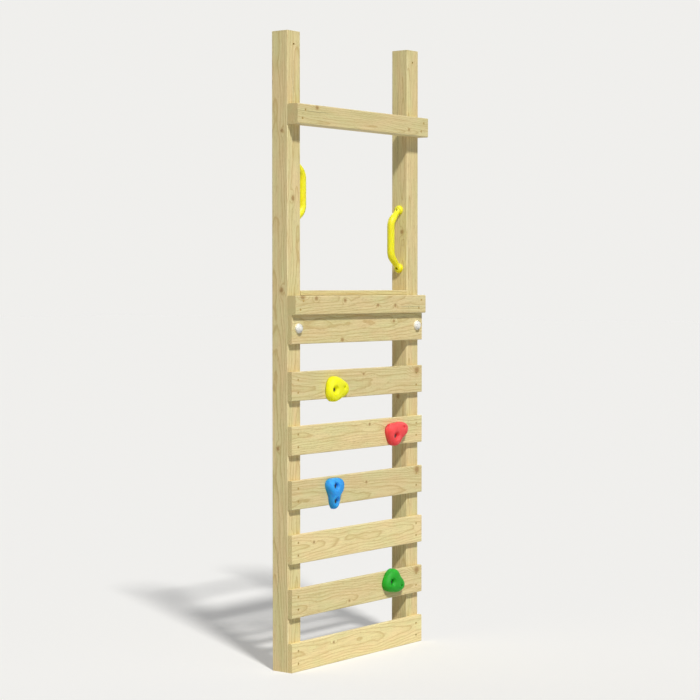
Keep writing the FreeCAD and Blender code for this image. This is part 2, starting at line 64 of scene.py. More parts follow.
# %% Colour, node and material helpers
MM = 0.001                      # one millimetre in the scene's metres
BLEND = {"data_type": "RGBA"}   # settings of a Mix node that blends colours, and of one that tints
TINT = {"data_type": "RGBA", "blend_type": "MULTIPLY"}
SOFT = {"interpolation_type": "SMOOTHSTEP"}            # settings of a Map Range node with soft ends


def linear(hex_colour):
    """An sRGB hex colour as linear RGBA: below 0.04045 divided by 12.92, above it a 2.4 power."""
    channels = [int(hex_colour[i:i + 2], 16) / 255 for i in (1, 3, 5)]
    return [c / 12.92 if c <= 0.04045 else ((c + 0.055) / 1.055) ** 2.4 for c in channels] + [1.0]


def plug(tree, node, inputs):
    """Gives each named input a plain value, or a link from another node's output."""
    for key, value in inputs.items():
        if isinstance(value, bpy.types.NodeSocket):
            tree.links.new(value, node.inputs[key])
        else:
            node.inputs[key].default_value = value


def add(tree, kind, settings=None, inputs=None):
    """Adds one shader node, and gives back its outputs.

    settings are its properties, or only the name of its operation. inputs are as for plug.
    """
    new = tree.nodes.new("ShaderNode" + kind)
    if isinstance(settings, str):
        settings = {"operation": settings}
    for key, value in (settings or {}).items():
        setattr(new, key, value)
    plug(tree, new, inputs or {})
    return new.outputs


def new_material(name):
    """A material with a Principled surface, as (material, node tree, Principled node)."""
    made = bpy.data.materials.new(name)
    made.use_nodes = True
    return made, made.node_tree, made.node_tree.nodes["Principled BSDF"]


def paint(obj, finish):
    """Gives obj one finish on all its faces."""
    obj.data.materials.clear()
    obj.data.materials.append(finish)


print("pure pine yellow in linear light:", [round(c, 3) for c in linear("#DFD09B")[:3]])

# %% [markdown]
# ## Pressure-treated pine, sawn and planed
# Play towers are built of fast-grown pine, planed and pressure-treated, which leaves it a pale
# greenish yellow. What the eye reads as wood is where the plank was cut from the trunk. A print of
# wood wrapped round the boards would repeat and would not match on the ends. So the finish works as a
# tree does: colour depends on the distance to the trunk's middle, the pith, which lies somewhere
# beside or behind each board. Faces near it show long arches, faces across the rings show straight
# lines, and sawn ends show arcs, all from one rule. Growth rings of fast pine are 4 to 8 mm wide.

# %% Where the rings come from
RING = 6.5                      # mm from one dark ring to the next
TAPER = 0.022                   # how fast the trunk narrows along the grain
EARLY_WOOD = "#E3D5A4"
MID_WOOD = "#DCCD99"
LATE_WOOD = "#CCB681"
CROOK = 34.0                    # mm that the trunk's middle wanders
RIPPLE = 7.0                    # mm that the grain ripples


def grain_noise(tree, local, length, width, detail):
    """Noise drawn out along the grain, in patches about length mm long and width mm wide."""
    place = add(tree, "VectorMath", "MULTIPLY", {0: local, 1: (1 / length, 1 / width, 1 / width)})[0]
    return add(tree, "TexNoise", {}, {"Vector": place, "Scale": 1.0, "Detail": detail})


def distance_from_pith(tree, local, knot_bulge):
    """Distance from the pith in mm: the length of the two cross-grain coordinates, moved by noise.

    A slow noise is the trunk's crook and a quicker one the ripple of the grain. The taper lets the
    rings run out through the face as arches, and a knot's bulge pushes them outwards round it.
    """
    slow = grain_noise(tree, local, 385, 167, 2.0)["Color"]
    ripple = grain_noise(tree, local, 91, 33, 3.0)["Color"]
    bent = add(tree, "VectorMath", "MULTIPLY", {0: local, 1: (0, 1, 1)})[0]
    for noise, size in ((slow, CROOK), (ripple, RIPPLE)):
        push = add(tree, "VectorMath", "MULTIPLY_ADD",
                   {0: noise, 1: (0, size, size), 2: (0, -size / 2, -size / 2)})[0]
        bent = add(tree, "VectorMath", "ADD", {0: bent, 1: push})[0]
    radius = add(tree, "VectorMath", "LENGTH", {0: bent})["Value"]
    along = add(tree, "SeparateXYZ", {}, {0: local})[0]
    radius = add(tree, "Math", "MULTIPLY_ADD", {0: along, 1: TAPER, 2: radius})[0]
    return add(tree, "Math", "ADD", {0: radius, 1: knot_bulge})[0]


print("one ring every", RING, "mm, running out", TAPER * 1000, "mm in each metre of board")

# %% [markdown]
# ## Knots and drying cracks
# A knot is a branch that the trunk grew round: a dark core with a darker rim, and rings that bow
# outwards on both sides of it. It could be a spot of paint, but then the grain would run straight
# through it. Here each knot is a place on the face. Its distance, stretched along the grain, both pushes
# the rings aside and colours the core. A drying crack is a long thin lens along the grain.

# %% Fields round knots and cracks
KNOT_PUSH = 1.5                 # how far a knot pushes the rings, in its radii
PUSH_LENGTH, PUSH_WIDTH = 6.8, 3.0          # how far off that push ends, in its radii too
KNOT_LENGTH = 1.2               # a knot's length along the grain over its width
CRACK_WOBBLE = 9.0              # mm that a crack strays from a straight line


def stretched_length(tree, offset, scales):
    """The length of an offset whose three coordinates are first multiplied by the scales."""
    scaled = add(tree, "VectorMath", "MULTIPLY", {0: offset, 1: scales})[0]
    return add(tree, "VectorMath", "LENGTH", {0: scaled})["Value"]


def knot_fields(tree, local, knots):
    """(ring bulge in mm, distance to the nearest knot in knot radii).

    Each knot is (along, across, radius, side). side is the cross-grain axis its branch grew along:
    1 or 2. The bulge falls smoothly from its full height at the knot to nothing where the push ends.
    """
    bulge = None
    nearest = None
    for along, across, radius, side in knots:
        place = (along, 0, across) if side == 1 else (along, across, 0)
        free = (0, 1) if side == 1 else (1, 0)
        offset = add(tree, "VectorMath", "SUBTRACT", {0: local, 1: place})[0]
        wide = PUSH_WIDTH * radius
        reach = stretched_length(tree, offset,
                                 (1 / (PUSH_LENGTH * radius), free[0] / wide, free[1] / wide))
        lift = add(tree, "MapRange", SOFT, {"Value": reach, "To Min": KNOT_PUSH * radius, "To Max": 0.0})[0]
        core = stretched_length(tree, offset,
                                (1 / (KNOT_LENGTH * radius), free[0] / radius, free[1] / radius))
        if nearest is None:
            bulge, nearest = lift, core
        else:
            bulge = add(tree, "Math", "ADD", {0: bulge, 1: lift})[0]
            nearest = add(tree, "Math", "MINIMUM", {0: nearest, 1: core})[0]
    return bulge, nearest


def crack_field(tree, local, cracks):
    """1 in a drying crack, else 0. Each crack is (middle, half length, across, width, side).

    It is a lens: the sideways distance over half the width, plus the square of the distance along
    it over half the length, is below 1 inside.
    """
    total = None
    wobble = grain_noise(tree, local, 50, math.inf, 4.0)[0]
    parts = add(tree, "SeparateXYZ", {}, {0: local})
    for middle, half_length, across, width, side in cracks:
        sideways = add(tree, "Math", "MULTIPLY_ADD",
                       {0: wobble, 1: -CRACK_WOBBLE, 2: parts[2 if side == 1 else 1]})[0]
        sideways = add(tree, "Math", "SUBTRACT", {0: sideways, 1: across - CRACK_WOBBLE / 2})[0]
        sideways = add(tree, "Math", "ABSOLUTE", {0: sideways})[0]
        sideways = add(tree, "Math", "DIVIDE", {0: sideways, 1: width / 2})[0]
        lengthways = add(tree, "Math", "SUBTRACT", {0: parts[0], 1: middle})[0]
        lengthways = add(tree, "Math", "DIVIDE", {0: lengthways, 1: half_length})[0]
        lens = add(tree, "Math", "MULTIPLY_ADD", {0: lengthways, 1: lengthways, 2: sideways})[0]
        dark = add(tree, "MapRange", {}, {"Value": lens, "From Min": 0.5, "From Max": 1.1,
                                          "To Min": 1.0, "To Max": 0.0})[0]
        if total is not None:
            dark = add(tree, "Math", "MAXIMUM", {0: total, 1: dark})[0]
        total = dark
    return total


print("a knot bends the rings over", PUSH_LENGTH, "of its radii along the grain")

# %% [markdown]
# ## Clear wood: rings, fibres and treatment
# Each year the tree lays down wide, pale early wood and then a thin dark ring, and starts again at once.
# So a colour ramp runs over the width of a ring and jumps back at its end. Over the rings lie streaks
# and fibres, resin canals that show as fine brown dashes, and the salts of the treatment, which tint
# the wood green here and pink there in broad clouds. Real fibres are a few hundredths of a millimetre
# wide and wouldn't show, so they are drawn nearly 1 mm wide.

# %% Colour of clear wood
PINK_TINT = (1.02, 0.965, 0.93)
GREEN_TINT = (0.95, 1.0, 0.93)


def ring_colour(tree, radius):
    """(colour, place in the ring from 0 to 1). The place is the fraction of radius over ring width."""
    turns = add(tree, "Math", "DIVIDE", {0: radius, 1: RING})[0]
    ring = add(tree, "Math", "FRACT", {0: turns})[0]
    ramp = add(tree, "ValToRGB", {}, {0: ring})[0]
    stops = ramp.node.color_ramp.elements
    for stop in stops:
        stop.color = linear(EARLY_WOOD)
    for position, colour in ((0.5, EARLY_WOOD), (0.74, MID_WOOD), (0.9, LATE_WOOD)):
        stop = stops.new(position)
        stop.color = linear(colour)
    return ramp, ring


def fibred(tree, trunk, colour):
    """(colour, streaks, fibres): a brown is laid over the colour wherever its noise is high."""
    streak = grain_noise(tree, trunk, 110, 3.3, 4.0)[0]
    fibre = grain_noise(tree, trunk, 33, 0.9, 2.0)[0]
    canal = grain_noise(tree, trunk, 17, 0.53, 0.0)[0]
    for noise, begin, end, most, brown in ((streak, 0.42, 0.75, 0.48, "#BFA56B"),
                                           (fibre, 0.5, 0.8, 0.35, "#A98C52"),
                                           (canal, 0.7, 0.78, 0.6, "#8F6F3C")):
        share = add(tree, "MapRange", {}, {"Value": noise, "From Min": begin, "From Max": end,
                                           "To Max": most})[0]
        colour = add(tree, "Mix", BLEND, {0: share, 6: colour, 7: linear(brown)})[2]
    return colour, streak, fibre


def treated(tree, trunk, colour, shade):
    """The colour times shade, and times a tint that a broad noise moves between pink and green."""
    cloud = grain_noise(tree, trunk, 165, 50, 2.0)[0]
    greener = add(tree, "MapRange", {}, {"Value": cloud, "From Min": 0.35, "From Max": 0.65})[0]
    pink, green = [(*(part * shade for part in tint), 1) for tint in (PINK_TINT, GREEN_TINT)]
    tint = add(tree, "Mix", BLEND, {0: greener, 6: pink, 7: green})[2]
    return add(tree, "Mix", TINT, {0: 1.0, 6: colour, 7: tint})[2]


print("late wood over early wood:", round(linear(LATE_WOOD)[0] / linear(EARLY_WOOD)[0], 3))

# %% [markdown]
# ## The colour of a knot
# A branch has its own rings, much finer than the trunk's, and a heart darker than its outside. The wood
# round it is stained brown. Where the branch had died, old bark is left in its rim, here and there. A
# plain brown disc would look printed, so a noise makes the outline ragged, and the bark breaks up with it.

# %% Colour of a knot
KNOT_RINGS = 4.14               # from a knot's heart to its rim
RAGGED = 0.9                    # how much the outline varies, in knot radii


def knotted(tree, local, nearest, colour, relief):
    """(colour, relief) with the knots laid in. nearest is the distance to one, in knot radii.

    From outside inwards: the stain, the rim with its bark, and the heart, whose rings are a sine
    of the distance and whose middle is darker. The heart stands a little proud of the planed face.
    """
    stain = add(tree, "MapRange", SOFT, {"Value": nearest, "From Min": 0.7, "From Max": 2.4,
                                         "To Min": 0.5, "To Max": 0.0})[0]
    colour = add(tree, "Mix", BLEND, {0: stain, 6: colour, 7: linear("#BC9A5E")})[2]
    lobes = grain_noise(tree, local, 6, 6, 3.0)[0]
    reach = add(tree, "Math", "MULTIPLY_ADD", {0: lobes, 1: RAGGED, 2: nearest})[0]
    reach = add(tree, "Math", "SUBTRACT", {0: reach, 1: RAGGED / 2})[0]

    rings = add(tree, "Math", "MULTIPLY", {0: reach, 1: 2 * math.pi * KNOT_RINGS})[0]
    rings = add(tree, "Math", "SINE", {0: rings})[0]
    rings = add(tree, "MapRange", {}, {"Value": rings, "From Min": -1.0, "To Max": 0.55})[0]
    heart = add(tree, "Mix", BLEND, {0: rings, 6: linear("#B08C56"), 7: linear("#97723F")})[2]
    centre = add(tree, "MapRange", SOFT, {"Value": reach, "From Min": 0.05, "From Max": 0.6,
                                          "To Min": 0.5, "To Max": 0.0})[0]
    heart = add(tree, "Mix", BLEND, {0: centre, 6: heart, 7: linear("#7C5B33")})[2]
    core = add(tree, "MapRange", SOFT, {"Value": reach, "From Min": 0.65, "From Max": 1.15,
                                        "To Min": 0.75, "To Max": 0.0})[0]
    colour = add(tree, "Mix", BLEND, {0: core, 6: colour, 7: heart})[2]

    rim = add(tree, "Math", "SUBTRACT", {0: reach, 1: 0.95})[0]
    rim = add(tree, "Math", "ABSOLUTE", {0: rim})[0]
    rim = add(tree, "MapRange", {}, {"Value": rim, "From Max": 0.14, "To Min": 1.0, "To Max": 0.0})[0]
    bark = add(tree, "MapRange", {}, {"Value": lobes, "From Min": 0.42, "From Max": 0.6,
                                      "To Min": 0.6, "To Max": 0.05})[0]
    rim = add(tree, "Math", "MULTIPLY", {0: rim, 1: bark})[0]
    colour = add(tree, "Mix", BLEND, {0: rim, 6: colour, 7: linear("#654A2B")})[2]
    relief = add(tree, "Math", "MULTIPLY_ADD", {0: core, 1: 0.8, 2: relief})[0]
    return colour, relief


print("a knot of 10 mm radius has a ring every", round(10 / KNOT_RINGS, 1), "mm")

# %% [markdown]
# ## Sawn ends and worn edges
# End grain drinks more of the treatment than a face does, so sawn ends are darker. On the long edges
# hands and rain rub the tint away, more on one stretch than on the next. Both could be painted on with
# masks. Here the face's own direction finds the ends, and the distance from the side faces the edges.

# %% Ends and edges
SAWN_TINT = (0.90, 0.87, 0.80, 1)
WORN_WOOD = "#E9DDB4"
STREAK_SHARE = 5.0              # mm by which the streaks narrow the worn band where they are strongest


def sawn(tree, grain, colour):
    """The colour, darker where the face looks along the grain."""
    facing = add(tree, "SeparateXYZ", {}, {0: add(tree, "NewGeometry")["Normal"]})[grain]
    end_grain = add(tree, "Math", "ABSOLUTE", {0: facing})[0]
    end_grain = add(tree, "MapRange", {}, {"Value": end_grain, "From Min": 0.6, "From Max": 0.9,
                                           "To Max": 0.75})[0]
    return add(tree, "Mix", TINT, {0: end_grain, 6: colour, 7: SAWN_TINT})[2]


def worn(tree, local, half, streak, colour):
    """The colour, paler within some 4 mm of an arris, where a point is close to two side faces.

    half holds half the timber's sizes in mm, so half minus the distance from the middle is how far a
    point lies in from each face. The larger of the two across the grain is small on an arris alone.
    """
    apart = add(tree, "VectorMath", "ABSOLUTE", {0: local})[0]
    inset = add(tree, "VectorMath", "SUBTRACT", {0: tuple(half), 1: apart})[0]
    inset = add(tree, "SeparateXYZ", {}, {0: inset})
    deeper = add(tree, "Math", "MAXIMUM", {0: inset[1], 1: inset[2]})[0]
    deeper = add(tree, "Math", "MULTIPLY_ADD", {0: streak, 1: STREAK_SHARE, 2: deeper})[0]
    rubbed = add(tree, "MapRange", {}, {"Value": deeper, "From Min": 3.5, "From Max": 6.5,
                                        "To Min": 0.35, "To Max": 0.0})[0]
    return add(tree, "Mix", BLEND, {0: rubbed, 6: colour, 7: linear(WORN_WOOD)})[2]


print("a worn edge over late wood:", round(linear(WORN_WOOD)[0] / linear(LATE_WOOD)[0], 3))

# %% [markdown]
# ## The finish of one timber
# Real boards in a pack differ: each was cut elsewhere in another trunk. So the function below makes one
# material for each timber, from the place of its pith, its own knots and its own tint. The planer
# leaves a fine relief of fibres and rings, and a dull sheen that varies with the streaks.

# %% One pine material
PLANED_RELIEF = 0.35            # mm from the lowest to the highest of the planed face


def treated_pine(name, box, grain, pith, knots, cracks, clouds, shade):
    """Planed, pressure-treated pine for one timber.

    box is the timber's corners in metres, grain the axis it grew along, "X" or "Z". pith is where
    the trunk's middle lies from the timber's own, in mm. In local coordinates the first axis is the
    grain and the others are depth and width. clouds moves all noise along, so that no two are alike.
    """
    made, tree, surface = new_material(name)
    low, high = [Vector(corner) / MM for corner in box]
    middle = (low + high) / 2
    half = (high - low) / 2
    turn = (0, 0, 0)
    if grain == "Z":
        turn = (0, math.radians(90), 0)
        middle = Vector((middle.z, middle.y, -middle.x))
        half = Vector((half.z, half.y, half.x))
    place = add(tree, "TexCoord")["Object"]
    local = add(tree, "Mapping", {}, {"Vector": place, "Scale": (1 / MM,) * 3, "Rotation": turn,
                                      "Location": -middle})[0]
    trunk = add(tree, "VectorMath", "SUBTRACT", {0: local, 1: (clouds * 900, pith[0], pith[1])})[0]

    bulge, nearest = knot_fields(tree, local, knots)
    colour, ring = ring_colour(tree, distance_from_pith(tree, trunk, bulge))
    colour, streak, fibre = fibred(tree, trunk, colour)
    colour = treated(tree, trunk, colour, shade)
    relief = add(tree, "Math", "MULTIPLY_ADD", {0: fibre, 1: 0.6, 2: ring})[0]
    colour, relief = knotted(tree, local, nearest, colour, relief)
    if cracks:
        crack = crack_field(tree, local, cracks)
        colour = add(tree, "Mix", BLEND, {0: crack, 6: colour, 7: linear("#5A4426")})[2]
        relief = add(tree, "Math", "MULTIPLY_ADD", {0: crack, 1: -6.0, 2: relief})[0]
    colour = worn(tree, local, half, streak, sawn(tree, grain, colour))

    bump = add(tree, "Bump", {}, {"Strength": 0.45, "Distance": PLANED_RELIEF * MM, "Height": relief})
    sheen = add(tree, "MapRange", {}, {"Value": streak, "From Min": 0.3, "From Max": 0.7,
                                       "To Min": 0.52, "To Max": 0.7})[0]
    plug(tree, surface, {"Base Color": colour, "Roughness": sheen, "Normal": bump[0]})
    return made


print("the planed face is", PLANED_RELIEF, "mm deep in relief, with rings", RING, "mm wide")

# %% [markdown]
# ## Which part of the tree each timber came from
# A flat board cut beside the pith shows arches on its face, so the pith lies 30 to 60 mm behind or in
# front of it. Posts are cut round the pith or just off it, and show straight lines. Each row of the
# table gives a timber's grain direction, the place of the pith, how light it is, its knots and its
# cracks. Knots and cracks are listed in mm from the timber's middle.

# %% Finish every timber
timbers = {
    "post_left": ("Z", (21, -17), 1.09, [(-640, 12, 6, 1), (530, 6, 7, 1), (-330, 9, 6, 2),
                                         (215, -8, 7, 2), (760, -10, 5, 2)],
                  [(-760, 150, 9, 1.3, 2), (905, 120, 4, 1.4, 1)]),
    "post_right": ("Z", (-14, 24), 1.07, [(-480, -10, 7, 1), (190, 14, 5, 1), (-180, 6, 6, 2),
                                          (430, -12, 6, 2)],
                   [(-520, 140, -6, 1.3, 2), (820, 170, 8, 1.3, 2)]),
    "base_board": ("X", (44, 12), 1.23, [(-150, 24, 4, 1)], []),
    "climb_board_5": ("X", (38, -20), 1.06, [(350, 35, 11, 1), (-60, -28, 4, 1)], []),
    "climb_board_4": ("X", (-46, 8), 1.18, [(-262, 16, 4, 1)], []),
    "climb_board_3": ("X", (52, -30), 1.02, [(351, 36, 11, 1), (40, 14, 4, 1)], []),
    "climb_board_2": ("X", (-40, 22), 1.14, [(60, 34, 4, 1)], []),
    "climb_board_1": ("X", (36, -8), 1.02, [(350, 33, 11, 1), (24, 30, 4, 1)], []),
    "cross_board": ("X", (48, 18), 1.06, [(-100, -40, 6, 1), (206, 22, 5, 1)], []),
    "platform_beam": ("X", (30, 26), 1.04, [(-343, 31, 9, 1), (-268, 24, 6, 1), (-106, 16, 6, 1),
                                            (87, -2, 5, 1), (192, -4, 5, 1), (-20, 8, 6, 2)],
                      [(290, 90, -9, 1.0, 1)]),
    "guard_rail": ("X", (-34, -20), 1.02, [(-276, 26, 6, 1), (262, -14, 4, 1), (150, 5, 6, 2)],
                   [(-290, 100, 11, 1.0, 1)]),
    "landing_bearer": ("X", (20, 40), 1.0, [(-100, -10, 7, 1), (180, 12, 6, 1)], []),
    "landing_board": ("X", (12, -44), 1.05, [(-210, -20, 6, 2), (96, 28, 7, 2)], []),
}
for number, (name, (grain, pith, shade, knots, cracks)) in enumerate(timbers.items()):
    finish = treated_pine("treated_pine_planed_" + name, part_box(name), grain, pith, knots, cracks,
                          number, shade)
    paint(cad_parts[name], finish)
print(len(timbers), "timbers finished")

# %% [markdown]
# ## Skins over a grid of points
# Moulded pieces have no flat faces, so each is drawn as a skin: a grid of points worked out by formula,
# one direction running round the piece and the other from one end to the other. Round pieces, such as
# caps and feet, come from a profile that is turned about an axis, as on a lathe.

# %% Turning a grid into a closed skin
def step(value, low, high):
    """0 below low and 1 above high, with 3t^2 - 2t^3 between them."""
    t = np.clip((value - low) / (high - low), 0, 1)
    return t * t * (3 - 2 * t)


def crowded(count, low, high, centres, width, weight):
    """count values from low to high, closer together near the centres.

    The density is 1 plus a bell curve at each centre. Its running sum is inverted.
    """
    fine = np.linspace(low, high, 4000)
    density = np.ones_like(fine)
    for centre in centres:
        density += weight * np.exp(-((fine - centre) / width) ** 2)
    total = np.cumsum(density)
    return np.interp(np.linspace(total[0], total[-1], count), total, fine)


def turned(profile, middle, outward, columns):
    """Grid of a turned shape: (radius, height) pairs swept round an axis along X or Y.

    A point is middle + height * outward + radius * (cos * level + sin * upright), where level is the
    level direction square to outward.
    """
    around = np.linspace(0, 2 * math.pi, columns, endpoint=False)[None, :, None]
    radius, height = np.array(profile, dtype=float).T[:, :, None, None]
    outward = np.array(outward)
    level = np.array((abs(outward[1]), abs(outward[0]), 0))
    upright = np.array((0, 0, 1))
    swept = radius * (np.cos(around) * level + np.sin(around) * upright)
    return np.array(middle) + height * outward + swept


def skin_faces(rows, columns, offset=0):
    """Faces of a wrapped grid whose two end rows are closed by a fan to one more point each."""
    index = np.arange(rows * columns).reshape(rows, columns) + offset
    after = np.roll(index, -1, axis=1)
    quads = np.stack([index[:-1], after[:-1], after[1:], index[1:]], axis=-1).reshape(-1, 4)
    first = np.full(columns, offset + rows * columns)
    fan = np.stack([after[0], index[0], first], axis=-1)
    tail = np.stack([index[-1], after[-1], first + 1], axis=-1)
    return quads.tolist() + fan.tolist() + tail.tolist()


def skin(name, grids):
    """One object from one or more grids in mm, each (rows, columns, 3), faces outward."""
    points, faces = [], []
    for grid in grids:
        rows, columns = grid.shape[:2]
        faces += skin_faces(rows, columns, sum(len(part) for part in points))
        points.append(np.vstack([grid.reshape(-1, 3), grid[0].mean(axis=0), grid[-1].mean(axis=0)]))
    mesh = bpy.data.meshes.new(name)
    mesh.from_pydata((np.vstack(points) * MM).tolist(), [], faces)
    shell = bmesh.new()
    shell.from_mesh(mesh)
    bmesh.ops.recalc_face_normals(shell, faces=shell.faces)
    shell.to_mesh(mesh)
    shell.free()
    mesh.polygons.foreach_set("use_smooth", np.ones(len(mesh.polygons), dtype=bool))
    made = bpy.data.objects.new(name, mesh)
    bpy.context.scene.collection.objects.link(made)
    return made


print("a skin of 3 by 4 points has", len(skin_faces(3, 4)), "faces")

# %% [markdown]
# ## The four climbing holds
# A hold is a solid lump of polyethylene, moulded, with a rounded outline of three soft corners, a short
# upright side and a pillowed top. A ball, or a box with rounded edges, would lack the side that fingers
# pull on. So the outline comes first, as a circle whose radius varies, and the height over it second.
#
# In the table, middle is the place of a hold from the wall's middle and up from its board's, in mm.
# point is the direction of one corner in degrees. corner and oval say how strongly the outline has
# three corners and is drawn out along oval_angle, and taper how much it widens upwards. Boards are
# counted from the top here. Bolts and lock screws have their places from the hold's own middle.

# %% Outline of a hold
holds = {
    "yellow": {"board": "climb_board_1", "middle": (-142, -16.5), "size": (113, 89), "point": -5,
               "corner": 0.10, "oval": 0.055, "oval_angle": 11, "taper": 0.035,
               "bolts": [(-30, -2)], "locks": [(20.5, 5.5)]},
    "red": {"board": "climb_board_2", "middle": (211, -9.5), "size": (120.5, 85.5), "point": -99,
            "corner": 0.115, "oval": 0.13, "oval_angle": 37, "taper": 0.135,
            "bolts": [(-22.5, -6)], "locks": [(24.5, 25)]},
    "blue": {"board": "climb_board_3", "middle": (-157.5, -10), "size": (85, 108.5), "point": -94,
             "corner": 0.18, "oval": 0.133, "oval_angle": 77, "taper": 0.27,
             "bolts": [(-8.5, 27.5), (-7, -26)], "locks": []},
    "green": {"board": "climb_board_5", "middle": (191.5, 14.5), "size": (116.5, 89), "point": 87,
              "corner": 0.08, "oval": 0.11, "oval_angle": -59, "taper": -0.135,
              "bolts": [(-25.5, -1.5)], "locks": [(28, -20)]},
}


def hold_outline(angle, spec):
    """(across, up) of the outline: a circle whose radius grows at three corners and along an oval.

    radius = 1 + corner * cos(3 * (angle - point)) + oval * cos(2 * (angle - oval angle)). The width
    grows with height by the taper, and the result is scaled to its measured size.
    """
    corners = spec["corner"] * np.cos(3 * (angle - math.radians(spec["point"])))
    radius = 1 + corners + spec["oval"] * np.cos(2 * (angle - math.radians(spec["oval_angle"])))
    across = radius * np.cos(angle) * (1 + spec["taper"] * np.sin(angle))
    up = radius * np.sin(angle)
    across = ((across - across.min()) / np.ptp(across) - 0.5) * spec["size"][0]
    up = ((up - up.min()) / np.ptp(up) - 0.5) * spec["size"][1]
    return across, up


print({colour: spec["size"] for colour, spec in holds.items()}, "mm wide and high")

# %% [markdown]
# ## The height of a hold above its board
# The section is a superellipse, share^4 + height^4 = 1, between a dome and a box. A dished recess takes
# the washer and socket bolt, and a small one the wood screw that stops the hold from turning. They
# could be cut out with solids, which leaves hard edges. Here they are part of the height itself, so
# their rims come out rounded like the rest of the moulding.

# %% Height of a hold
HOLD_DEPTH = 31.0               # mm, like all that follow
ROUNDNESS = 4.0                 # exponent of the section
BOLT_SEAT, BOLT_RECESS = 9.0, 9.0        # height of the washer's seat, radius of the recess
DISH_BOTTOM, DISH_RADIUS = 21.0, 17.0    # where the recess starts to widen, radius at full depth
DISH_SOFTNESS = 1.4             # of the dish's rim
LOCK_SEAT, LOCK_RECESS = 10.0, 5.0
LOCK_DIMPLE, LOCK_DIMPLE_WIDTH = 1.2, 2.5
CORNER_RISE = 1.1               # half of how far the rim's corners stand over the stretches between
LUMP_HEIGHT = 0.4


def bored(height, distance, seat, radius):
    """height with a flat-bottomed recess round a fastener, its wall 1.2 mm wide for a rounded edge."""
    inside = 1 - step(distance, radius - 0.3, radius + 0.9)
    return height + (np.minimum(seat, height) - height) * inside


def hold_height(angle, share, across, up, spec):
    """Height above the board at an angle and a share of the way from the pole to the rim.

    It is depth * (1 - share^4)^(1/4), less what falls away between the corners and in soft lumps,
    both of which fade out towards the board. Round a bolt it is the soft minimum of that and of a
    cone: minus softness times the logarithm of the sum of exp(-height / softness) of the two.
    """
    height = HOLD_DEPTH * np.clip(1 - share ** ROUNDNESS, 0, 1) ** (1 / ROUNDNESS)
    between = 1 - np.cos(3 * (angle - math.radians(spec["point"])))
    lumps = 0.5 + LUMP_HEIGHT * np.cos(across / 11) * np.cos(up / 9)
    height = height - (CORNER_RISE * between * share ** 2 + lumps) * step(height, 6, 24)
    slope = (HOLD_DEPTH - DISH_BOTTOM) / (DISH_RADIUS - BOLT_RECESS)
    for place in spec["bolts"]:
        distance = np.hypot(across - place[0], up - place[1])
        cone = DISH_BOTTOM + (distance - BOLT_RECESS) * slope
        both = np.exp(-height / DISH_SOFTNESS) + np.exp(-cone / DISH_SOFTNESS)
        height = np.maximum(-DISH_SOFTNESS * np.log(both), 0)
        height = bored(height, distance, BOLT_SEAT, BOLT_RECESS)
    for place in spec["locks"]:
        distance = np.hypot(across - place[0], up - place[1])
        dimple = LOCK_DIMPLE * np.exp(-((distance - LOCK_RECESS) / LOCK_DIMPLE_WIDTH) ** 2)
        height = bored(height - dimple * step(height, 4, 16), distance, LOCK_SEAT, LOCK_RECESS)
    return height


print("washers sit", HOLD_DEPTH - BOLT_SEAT, "mm and lock screws", HOLD_DEPTH - LOCK_SEAT, "mm deep")

# %% [markdown]
# ## The skin of a hold
# The grid runs from the rim on the board to a pole on the top, and round it. Its points crowd in the
# direction of the small screw recess, whose edge needs them most.

# %% Mould the four holds
HOLD_ROWS, HOLD_COLUMNS = 180, 400
MEAN_REACH = 55.0               # mm from a pole to the rim, on the average


def moulded_hold(name, spec):
    """One hold. Rows run from share 1 at the rim to share 0 at the pole, as share = sin(turn)."""
    pole = np.array(spec["bolts"][0] if spec["locks"] else (0, 0)) / 3
    lock_angles = [math.atan2(up - pole[1], across - pole[0]) for across, up in spec["locks"]]
    lock_turns = [math.asin(math.hypot(across - pole[0], up - pole[1]) / MEAN_REACH)
                  for across, up in spec["locks"]]
    start = lock_angles[0] - math.pi if lock_angles else 0
    angle = crowded(HOLD_COLUMNS + 1, start, start + 2 * math.pi, lock_angles, 0.2, 1.5)[:-1]
    turn = crowded(HOLD_ROWS, math.pi / 2, 0.004, lock_turns, 0.12, 1.2)[:, None]
    share = np.sin(turn)
    rim = hold_outline(angle, spec)
    across = pole[0] + (rim[0] - pole[0]) * share
    up = pole[1] + (rim[1] - pole[1]) * share
    height = hold_height(angle, share, across, up, spec)
    low, high = [Vector(corner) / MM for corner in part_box(spec["board"])]
    x = spec["middle"][0] + across
    z = (low.z + high.z) / 2 + spec["middle"][1] + up
    return skin(name, [np.stack([x, low.y - height, z], axis=-1)])


hold_pieces = {}
for colour, spec in holds.items():
    piece = moulded_hold("climbing_hold_" + colour, spec)
    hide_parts("hold_" + colour)
    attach(piece, "root")
    hold_pieces[colour] = piece
print({colour: len(piece.data.polygons) for colour, piece in hold_pieces.items()}, "faces")

# %% [markdown]
# ## The two hand grips
# Each grip is a thick moulded bar, bowed off the post on two legs at 45 degrees with a round foot, so
# that a small hand closes fully round it. A plain bent tube would do for the bar, but the legs thin
# towards feet that swell out again and are counterbored for a screw. So the tube's skin and the feet's
# are merged and smoothed where they meet, as the mould was, and the screw holes are cut afterwards.

# %% Shape of a grip
GRIP = {                        # in mm, but for the lean
    "spacing": 215.0,           # between its two screws
    "standoff": 53.0,           # from the post to the bar's middle line
    "bar": 14.0,                # radius of the bar
    "leg": 10.5,                # radius of a leg where it meets its foot
    "bend": 40.0,               # radius of the bend between bar and leg
    "lean": 45.0,               # degrees that a leg leans from the bar
    "foot": 17.0,               # radius of a foot
    "foot_height": 15.0,
    "foot_edge": 9.0,           # rounding of a foot's outer edge
    "seat": 6.0,                # height of the screw's seat in the foot
    "hole": 5.6,                # radius of its counterbore
}


